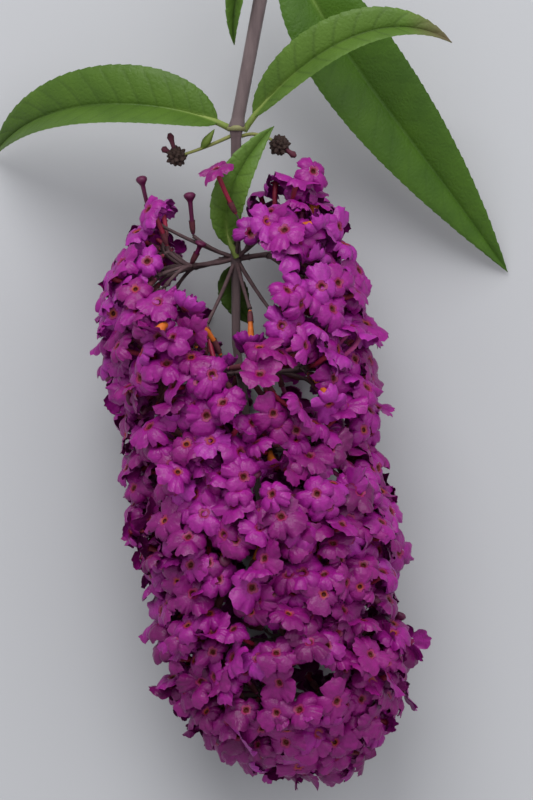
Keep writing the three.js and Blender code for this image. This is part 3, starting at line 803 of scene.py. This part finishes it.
def make_petals(faces):
    """The petals, dealt out to shades that darken towards the tip: partly painted shade, partly own colour.
    """
    along_head = np.clip(-centre[:, 1] / HEAD_END_H, 0, 1)
    shade_of = lerp(SHADE_AT_CROWN, SHADE_AT_TIP, along_head) + rng.normal(0, SHADE_SPREAD, floret_count)
    shade_of = np.clip(np.round(shade_of), 0, len(PETAL_SHADES) - 1)[open_florets]
    for shade, colour in enumerate(PETAL_SHADES):
        petals = faces[shade_of == shade, PETAL_START:]
        material = petal_material(f"petal {shade + 1}", colour)
        make_piece(f"petals_{shade + 1}", [petals], material, FLOWER_NODES)


def make_eyes(faces):
    """A halo, a red or orange eye and a throat painted dark as shade in the middle of each face."""
    halos = faces[:, EYE_RINGS : PETAL_START + 1, ::RING_THINNING]
    make_flower_piece("floret_halos", [halos], "halo")
    is_orange_eyed = is_aged | (rng.uniform(0, 1, floret_count) < ORANGE_EYE_SHARE)
    is_orange_eyed = is_orange_eyed[open_florets]
    eyes = faces[:, : EYE_RINGS + 1, ::RING_THINNING]
    make_flower_piece("floret_eyes_red", [eyes[~is_orange_eyed]], "red eye")
    make_flower_piece("floret_eyes_orange", [eyes[is_orange_eyed]], "orange eye")
    throats = turned_grids(open_florets, THROAT_PROFILE, sides=10)[:, ::-1]
    make_flower_piece("floret_throats", [throats], "throat with painted shade")


# ---- florets: tubes, calyces and stalks

floret_span = np.linalg.norm(centre - root, axis=1)
tube_control = centre - facing * (floret_span * TUBE_BEND)[:, None]
stalk_start = np.zeros(floret_count)
calyx_start = np.clip(1 - (TUBE_LENGTH + CALYX_LENGTH) / floret_span, *CALYX_START_RANGE)
calyx_end = np.minimum(calyx_start + CALYX_LENGTH / floret_span, CALYX_END_LIMIT)
tube_end = np.ones(floret_count)


def floret_paths(members, first, last, shares):
    """Points on the way from a floret's root to its face, between two shares of it."""
    part = first[members, None] + (last - first)[members, None] * shares
    return quadratic(root[members], tube_control[members], centre[members], part)


def make_tubes():
    """The tubes of open florets, by kind, and the closed buds."""
    is_crimson = rng.uniform(0, 1, floret_count) < CRIMSON_SHARE
    is_crimson[laid_count:] = True
    is_crimson &= ~is_aged
    kinds = {
        "crimson": (is_crimson, TUBE_RADII),
        "pink": (~is_crimson & ~is_aged, TUBE_RADII),
        "orange": (is_aged, AGED_TUBE_RADII),
    }
    for kind, (is_kind, radii) in kinds.items():
        paths = floret_paths(np.flatnonzero(is_kind & ~is_bud), calyx_start, tube_end, TUBE_SHARES)
        make_flower_piece(f"tubes_{kind}", [sweep(paths, radii, sides=7)], f"{kind} tube")

    buds = np.flatnonzero(is_bud)
    bud_radii = BUD_RADII * rng.uniform(*BUD_THICKNESSES, (len(buds), 1))
    paths = floret_paths(buds, calyx_start, tube_end, BUD_SHARES)
    make_flower_piece("buds", [sweep(paths, bud_radii, sides=10)], "bud")


def make_calyces_and_twigs():
    everyone = np.arange(floret_count)
    calyx_paths = floret_paths(everyone, calyx_start, calyx_end, CALYX_SHARES)
    make_flower_piece("calyces", [sweep(calyx_paths, CALYX_RADII, sides=7)], "calyx")

    stalk_paths = floret_paths(everyone, stalk_start, calyx_start, STALK_SHARES)
    starts, controls, ends, first_radii, last_radii = (np.array(part) for part in zip(*twigs))
    shares = np.linspace(0, 1, TWIG_POINTS)
    twig_paths = quadratic(starts, controls, ends, np.tile(shares, (len(twigs), 1)))
    twig_radii = lerp(first_radii[:, None], last_radii[:, None] * TWIG_END_SHARE, shares)
    twig_radii[:, -1] = last_radii * TWIG_KNOT_SHARE
    stalks_and_twigs = [sweep(stalk_paths, STALK_RADII, sides=5), sweep(twig_paths, twig_radii, sides=7)]
    make_flower_piece("twigs", stalks_and_twigs, "twig")


# ---- stem

STEM_SIDES = 40
STEM_STEP = 0.35
NODE_POWER = 0.8
RIDGES = ((9, 0.012, 0), (17, 0.01, 1.3))  # number round the stem, depth and phase
WART_HEIGHT = 0.012
COLLAR_HALF_LENGTH = 0.55
COLLAR_RINGS = 7
COLLAR_BULGE = 0.2  # of its radius
COLLAR_ARC = 1.3  # radians to each side of its middle


def swelling_at(h):
    """How much a stem node, at the leaves or at a whorl, widens the stem."""
    nodes = [(node_h, NODE_SWELLING, NODE_POWER) for node_h in (UPPER_NODE_H, LEAF_NODE_H, 0)]
    nodes += [(whorl_h(whorl), WHORL_SWELLING, 1) for whorl in range(1, WHORL_COUNT)]
    swelling = np.ones_like(h)
    for node_h, widest, power in nodes:
        nearness = np.clip(1 - np.abs(h - node_h) / NODE_HALF_LENGTH, 0, 1)
        swelling += (widest - 1) * nearness**power
    return swelling


def stem_rings(first_h, last_h):
    """The four-angled stem with ridges along it and low warts."""
    rows = np.arange(first_h, last_h + STEM_STEP, STEM_STEP)
    turn = turns(STEM_SIDES)
    section = lerp(CORNER_SHARE, 1, (1 + np.cos(4 * (turn - math.pi / 4))) / 2)
    section += sum(depth * np.sin(number * turn + phase) for number, depth, phase in RIDGES)
    radius = (stem_radius(rows) * swelling_at(rows))[:, None] * section
    radius += rng.normal(0, WART_HEIGHT, radius.shape)
    return stem_at(rows)[:, None, :] + radius[..., None] * cross_spokes(turn)


def make_stem():
    """Bark from the cut to the lower leaf node, a collar there, and the flower head's axis."""
    bark = stem_rings(CUT_H, LEAF_NODE_H)
    cut_face = np.stack([stem_rings(CUT_H, CUT_H)[0], np.tile(stem_at(CUT_H), (STEM_SIDES, 1))])
    bark_material = mottled_material("bark", stretch=ALONG_BRANCH, sheen=0.2)
    make_piece("bark", [bark, cut_face[::-1]], bark_material, ["stem"])

    collar_h = LEAF_NODE_H + np.linspace(-COLLAR_HALF_LENGTH, COLLAR_HALF_LENGTH, COLLAR_RINGS)
    bulge = COLLAR_BULGE * np.cos(np.linspace(-COLLAR_ARC, COLLAR_ARC, COLLAR_RINGS))
    collar_radius = RADIUS_AT_LEAF_NODE * NODE_SWELLING * (1 - COLLAR_BULGE + bulge)
    collar = stem_at(collar_h)[:, None, :] + collar_radius[:, None, None] * cross_spokes(turns(STEM_SIDES))
    make_piece("leaf_collar", [collar], mottled_material("collar"), ["stem"])

    axis_material = mottled_material("flower axis", stretch=ALONG_BRANCH, sheen=0.12)
    make_piece("flower_axis", [stem_rings(LEAF_NODE_H, STEM_TIP_H)], axis_material, ["stem"])


# ---- leaves

LEAF_STATIONS = 210
LEAF_COLUMNS = 37
LEAF_HALF_THICKNESS = 0.16
EDGE_TAPER = 6  # the blade is thinner over the outermost sixth of its half
BULGE = 0.14  # of a half blade between the midrib and its edge
TOOTH = 0.22
TOOTH_SPACING = 2.1
TOOTH_LEAST_HALF = 2  # teeth are smaller where the half blade is narrower than this
LEAST_HALF_WIDTHS = (0.6, 0.06)  # at the foot and at the tip
VEIN_SLANT = 0.075
VEIN_SLANT_POWER = 1.2
VEIN_WIDTH = 0.075  # of the distance between two veins
VEIN_DEPTH = 0.1
VEIN_EDGE_FADE = 5  # veins end over the outermost fifth of the half blade
VEIN_LEAST_HALF = 3  # they are shallower where the half blade is narrower than this
MIDRIB_WIDTH = 0.55
MIDRIB_DEPTH = 0.12
# The darker green over the sunken veins, and in the midrib's groove past its pale base, is painted shade
PALE_RIB_FADE = 3  # the midrib is pale over the first third of the leaf, and dark further on
RIB_SHADE_LAG = 0.6
CREASE_SHADE_SHARE = 0.4  # of a darker green over the sunken veins
PUFF = 0.07  # of the blade between two veins
PUFF_START = 4
BLUSH_GROWTH = 5  # the ripe tip's colour is full a fifth of the leaf after it starts

RIB_STATIONS = 40
RIB_END = 0.93  # of the leaf's length
RIB_INSET = 1.2  # from the leaf's foot into the stem
RIB_RADII = (0.8, 0.72, 0.12)  # inside the stem, at the leaf's foot and at the rib's end
RIB_SINK = 0.1  # from the middle of the blade down to the rib's top
RIB_SINKING = (-0.4, 5)  # at its two ends; it is clipped to 0 at the foot and 1 further on

leaf_node = stem_at(LEAF_NODE_H)
upper_node = stem_at(UPPER_NODE_H)
leaf_node_reach = RADIUS_AT_LEAF_NODE * NODE_SWELLING + CLEARANCE
upper_node_reach = float(stem_radius(UPPER_NODE_H)) * NODE_SWELLING + CLEARANCE
whorl_node_reach = float(stem_radius(0)) * NODE_SWELLING + CLEARANCE
TIP_REST = 0.8 - REST_DEPTH  # height of a leaf tip that the branch lies on

# Folds are the degrees by which the half blades left and right of the midrib rise, seen from the foot.
# Veins are their number on each side and their strength. A ripe tip begins at a share of its leaf.
LEAVES = {
    "left_leaf": {
        "foot": leaf_node + (-leaf_node_reach, 0.6, 0),
        "curve": ((-11.7, 32.5, 6), (-42.3, 37.7, -3), (-53.7, 23.5, TIP_REST)),
        "width": 17.3,
        "folds": (58, 4),
        "veins": (14, 0.6),
        "colours": ((47, 74, 13), (74, 102, 26)),
    },
    "right_leaf": {
        "foot": leaf_node + (leaf_node_reach, 0.6, 0),
        "curve": ((11, 40, 8), (30, 54, 15), (45.5, 45, 7)),
        "width": 12,
        "folds": (8, 58),
        "veins": (11, 0.9),
        "colours": ((54, 80, 18), (82, 110, 36)),
        "ripe_from": 0.79,
    },
    "large_leaf": {
        "foot": upper_node + (upper_node_reach, -0.4, 0),
        "curve": ((15, 50, 2), (37, 28, -8), (59.7, -2, TIP_REST)),
        "width": 20,
        "folds": (16, 16),
        "veins": (17, 0.3),
        "colours": ((40, 70, 6), (66, 99, 16)),
    },
    "small_leaf": {
        "foot": upper_node + (-upper_node_reach, -0.4, 0),
        "curve": ((2, 64, 3), (-1.5, 54, 2), (-0.4, 45.6, -3)),
        "width": 8,
        "folds": (60, 52),
        "veins": (8, 0.6),
        "colours": ((54, 82, 20), (80, 110, 36)),
    },
    "front_bract": {
        "foot": np.array([-0.3, 1.2, whorl_node_reach]),
        "curve": ((-5, 9, 5.5), (0.5, 20, 8), (8.1, 27.5, 6)),
        "width": 8.4,
        "folds": (24, 30),
        "veins": (7, 0.75),
        "colours": ((56, 84, 22), (84, 112, 38)),
    },
    "back_bract": {
        "foot": np.array([0, -0.8, -whorl_node_reach]),
        "curve": ((-2.5, -5, -5), (0, -10, -6.5), (3.2, -14, -6)),
        "width": 7,
        "folds": (20, 20),
        "veins": (5, 0.5),
        # Darker than the front bract's greens: painted shade, as this bract lies under the head
        "colours": ((40, 60, 14), (60, 84, 24)),
    },
}


def leaf_outline(t):
    """Share of a leaf's greatest width at each share of its blade."""
    widest = LEAF_RISE / (LEAF_RISE + LEAF_FALL)
    peak = widest**LEAF_RISE * (1 - widest) ** LEAF_FALL
    return t**LEAF_RISE * (1 - t) ** LEAF_FALL / peak


def make_blade(name, leaf):
    """A folded blade with toothed edges, and its veins sunk above and raised below."""
    t = np.linspace(0, 1, LEAF_STATIONS)
    s = np.linspace(-1, 1, LEAF_COLUMNS)
    middle, tangent = midrib_at(leaf, t)
    length = np.linalg.norm(np.diff(middle, axis=0), axis=1).sum()
    side = unit(np.cross(UP, tangent))
    normal = np.cross(tangent, side)
    t = t[:, None]
    blade = np.clip((t - STALK_SHARE) / (1 - STALK_SHARE), 0, 1)
    half = leaf["width"] / 2 * leaf_outline(blade)
    half = half - TOOTH * np.clip(half / TOOTH_LEAST_HALF, 0, 1) * ((t * length / TOOTH_SPACING) % 1)
    half = np.maximum(half, lerp(*LEAST_HALF_WIDTHS, t))

    vein_count, strength = leaf["veins"]
    left_fold, right_fold = (math.radians(fold) for fold in leaf["folds"])
    fold = np.where(s > 0, left_fold, right_fold)
    distance = np.abs(s)
    lateral = half * s * np.cos(fold)
    lift = half * distance * np.sin(fold) + half * BULGE * (distance - distance**2) * 2
    vein_place = (blade - VEIN_SLANT * distance**VEIN_SLANT_POWER) * vein_count
    off_vein = np.abs(vein_place - np.round(vein_place))
    fade = np.clip(half / VEIN_LEAST_HALF, 0, 1) * np.clip((1 - distance) * VEIN_EDGE_FADE, 0, 1)
    groove = np.exp(-((off_vein / VEIN_WIDTH) ** 2)) * fade
    midrib = np.exp(-((distance * half / MIDRIB_WIDTH) ** 2))
    puff = np.cos(2 * math.pi * off_vein) * -0.5 * fade * np.clip(distance * PUFF_START, 0, 1)
    lift += strength * (PUFF * puff - VEIN_DEPTH * groove) - MIDRIB_DEPTH * midrib

    surface = middle[:, None, :] + lateral[..., None] * side[:, None, :]
    surface = surface + lift[..., None] * normal[:, None, :]
    outward = unit(np.cross(np.gradient(surface, axis=0), np.gradient(surface, axis=1)))
    outward *= np.sign((outward * normal[:, None, :]).sum(-1, keepdims=True))
    thickness = np.minimum(1, (1 - distance) * EDGE_TAPER)[None, :, None] * LEAF_HALF_THICKNESS
    # Painted shade: in the sunken veins and, past the pale base, in the midrib's groove
    crease_shade = groove + midrib * np.clip(PALE_RIB_FADE * t - RIB_SHADE_LAG, 0, 1)
    ripeness = np.clip((t - leaf.get("ripe_from", 1)) * BLUSH_GROWTH, 0, 1)
    attributes = {
        "vein": (midrib * np.clip(1 - PALE_RIB_FADE * t, 0, 1))[:, ::-1],
        "painted_crease_shade": (CREASE_SHADE_SHARE * strength * np.clip(crease_shade, 0, 1))[:, ::-1],
        "blush": np.broadcast_to(ripeness, midrib.shape),
    }
    upper = (surface + outward * thickness)[:, ::-1]
    lower = surface - outward * thickness
    upper_material = leaf_material(name, *leaf["colours"])
    make_piece(f"{name}_upper", [upper], upper_material, [name], False, attributes)
    under_material = mottled_material("leaf underside", sheen=0.3)
    make_piece(f"{name}_under", [lower], under_material, [name], False)


def rib_grid(leaf):
    """A leaf's stalk, which runs on under the blade as its rib."""
    path, _ = midrib_at(leaf, np.linspace(0, RIB_END, RIB_STATIONS))
    inside = path[0] + unit(path[0] - path[3]) * RIB_INSET
    path = np.concatenate([[inside], path])
    radius = np.concatenate([RIB_RADII[:1], np.linspace(*RIB_RADII[1:], RIB_STATIONS)])
    sinking = np.clip(np.linspace(*RIB_SINKING, RIB_STATIONS + 1), 0, 1)
    path[:, 2] -= sinking * (radius + RIB_SINK)
    return sweep(path, radius, sides=8)


def make_leaves():
    for name, leaf in LEAVES.items():
        make_blade(name, leaf)
    ribs = [rib_grid(leaf) for leaf in LEAVES.values()]
    make_piece("leaf_ribs", ribs, mottled_material("leaf rib"), list(LEAVES))


# ---- spent clusters

SPENT_CLUSTERS = {
    "spent_cluster_left": {
        "side": -1,
        "bend": (-7.2, 23.2, 1.5),
        "end": (-12.6, 21.4, 2),
        "capsules": 30,
        "shoots": ((-14.1, 26.3, 2.6), (-15.7, 23.2, 2.2)),
        "bract": (-4.5, 27.2, 2.2),
    },
    "spent_cluster_right": {
        "side": 1,
        "bend": (5, 26, 1.5),
        "end": (9.2, 23.8, 2.5),
        "capsules": 40,
        "shoots": ((12.7, 21.3, 3),),
        "bract": None,
    },
}
SPENT_FOOT = (1.2, -1.6)  # of a spent cluster's stalk, sideways and along Y from the lower leaf node
SPENT_STALK_POINTS = 14
SPENT_STALK_RADII = (0.42, 0.3)
CAPSULE_START = 0.1
CAPSULE_LENGTHS = (2, 2.6)
CAPSULE_THICKNESSES = (0.85, 1.15)
CAPSULE_RADII = np.array([0.2, 0.44, 0.56, 0.6, 0.58, 0.46, 0.14])
SHOOT_RADII = (0.4, 0.5, 0.5, 0.46, 0.55, 0.8, 0.35)
BRACT_RADII = (0.4, 0.8, 0.95, 0.85, 0.6, 0.35, 0.05)


def capsule_grid(middle, number, capsule_count):
    """One of a cluster's dry capsules, which point away from its middle on all sides."""
    height = 1 - (2 * number + 1) / capsule_count
    ring = math.sqrt(1 - height**2)
    turn = number * GOLDEN_ANGLE
    outward = np.array([ring * math.cos(turn), ring * math.sin(turn), height])
    length = rng.uniform(*CAPSULE_LENGTHS)
    path = middle + outward * np.linspace(CAPSULE_START, length, len(CAPSULE_RADII))[:, None]
    return sweep(path, CAPSULE_RADII * rng.uniform(*CAPSULE_THICKNESSES), sides=8)


def make_spent_cluster(name, spent):
    """A stalk that passes through its bend, capsules round its end, and the shoots and bract on it."""
    start = leaf_node + (spent["side"] * SPENT_FOOT[0], SPENT_FOOT[1], 0)
    bend, end = (np.array(spent[key], float) for key in ("bend", "end"))
    control = bend + (bend - (start + end) / 2)
    path = quadratic(start, control, end, np.linspace(0, 1, SPENT_STALK_POINTS))
    stalk = sweep(path, np.linspace(*SPENT_STALK_RADII, SPENT_STALK_POINTS), sides=7)
    capsules = [capsule_grid(end, number, spent["capsules"]) for number in range(spent["capsules"])]
    shoots = [spindle(end, tip, SHOOT_RADII) for tip in spent["shoots"]]
    pieces = {
        "stalk": ("spent stalk", [stalk]),
        "capsules": ("capsule", capsules),
        "shoots": ("shoot", shoots),
    }
    if spent["bract"]:
        pieces["bract"] = ("small bract", [spindle(bend, spent["bract"], BRACT_RADII)])
    for suffix, (look, parts) in pieces.items():
        make_piece(f"{name}_{suffix}", parts, mottled_material(look), [name])


# ---- floor, light and camera

VIEW_MIDDLE = (6.48, -30.2)
CAMERA_HEIGHT = 700
VIEW_HEIGHT = 170  # of what the photograph's frame takes in at the stem
SENSOR = 36
LIGHT_TARGET = (0, 0, 0.02)  # lights are placed in metres


def make_floor():
    """A square floor, eight metres wide."""
    size = 4.0
    mesh = bpy.data.meshes.new("floor")
    corners = [(-size, -size, 0), (size, -size, 0), (size, size, 0), (-size, size, 0)]
    mesh.from_pydata(corners, [], [(0, 1, 2, 3)])
    floor = bpy.data.objects.new("floor", mesh)
    bpy.context.scene.collection.objects.link(floor)
    material, _, _ = new_material("floor", (168, 169, 172), roughness=0.9, specular=0.1)
    mesh.materials.append(material)


def add_area_light(name, place, size, power):
    light = bpy.data.lights.new(name, "AREA")
    light.shape = "DISK"
    light.size = size
    light.energy = power
    lamp = bpy.data.objects.new(name, light)
    lamp.location = place
    direction = np.array(LIGHT_TARGET) - np.array(place)
    lamp.rotation_euler = Vector(direction).to_track_quat("-Z", "Y").to_euler()
    bpy.context.scene.collection.objects.link(lamp)


def add_camera():
    """The photograph's camera: straight above the branch, with the cut end at the top."""
    data = bpy.data.cameras.new("camera")
    data.sensor_width = SENSOR
    data.lens = SENSOR * CAMERA_HEIGHT / VIEW_HEIGHT
    data.clip_start = 0.01
    data.clip_end = 20
    camera = bpy.data.objects.new("camera", data)
    camera.location = (np.array([*VIEW_MIDDLE, CAMERA_HEIGHT]) + SHIFT) * MM
    bpy.context.scene.collection.objects.link(camera)
    bpy.context.scene.camera = camera


def add_world():
    world = bpy.data.worlds.new("sky")
    world.use_nodes = True
    background = world.node_tree.nodes["Background"]
    background.inputs["Color"].default_value = (0.96, 0.97, 1.0, 1)
    background.inputs["Strength"].default_value = 0.72
    bpy.context.scene.world = world


# ---- the scene

faces = face_grids(open_florets)
make_petals(faces)
make_eyes(faces)
make_tubes()
make_calyces_and_twigs()
make_stem()
make_leaves()
for name, spent in SPENT_CLUSTERS.items():
    make_spent_cluster(name, spent)
make_floor()
add_area_light("key", place=(-0.15, 0.75, 0.75), size=0.7, power=9.5)
add_area_light("fill", place=(0.45, 0.25, 0.85), size=0.8, power=2.5)
add_camera()
add_world()
bpy.context.scene.view_settings.view_transform = "Standard"
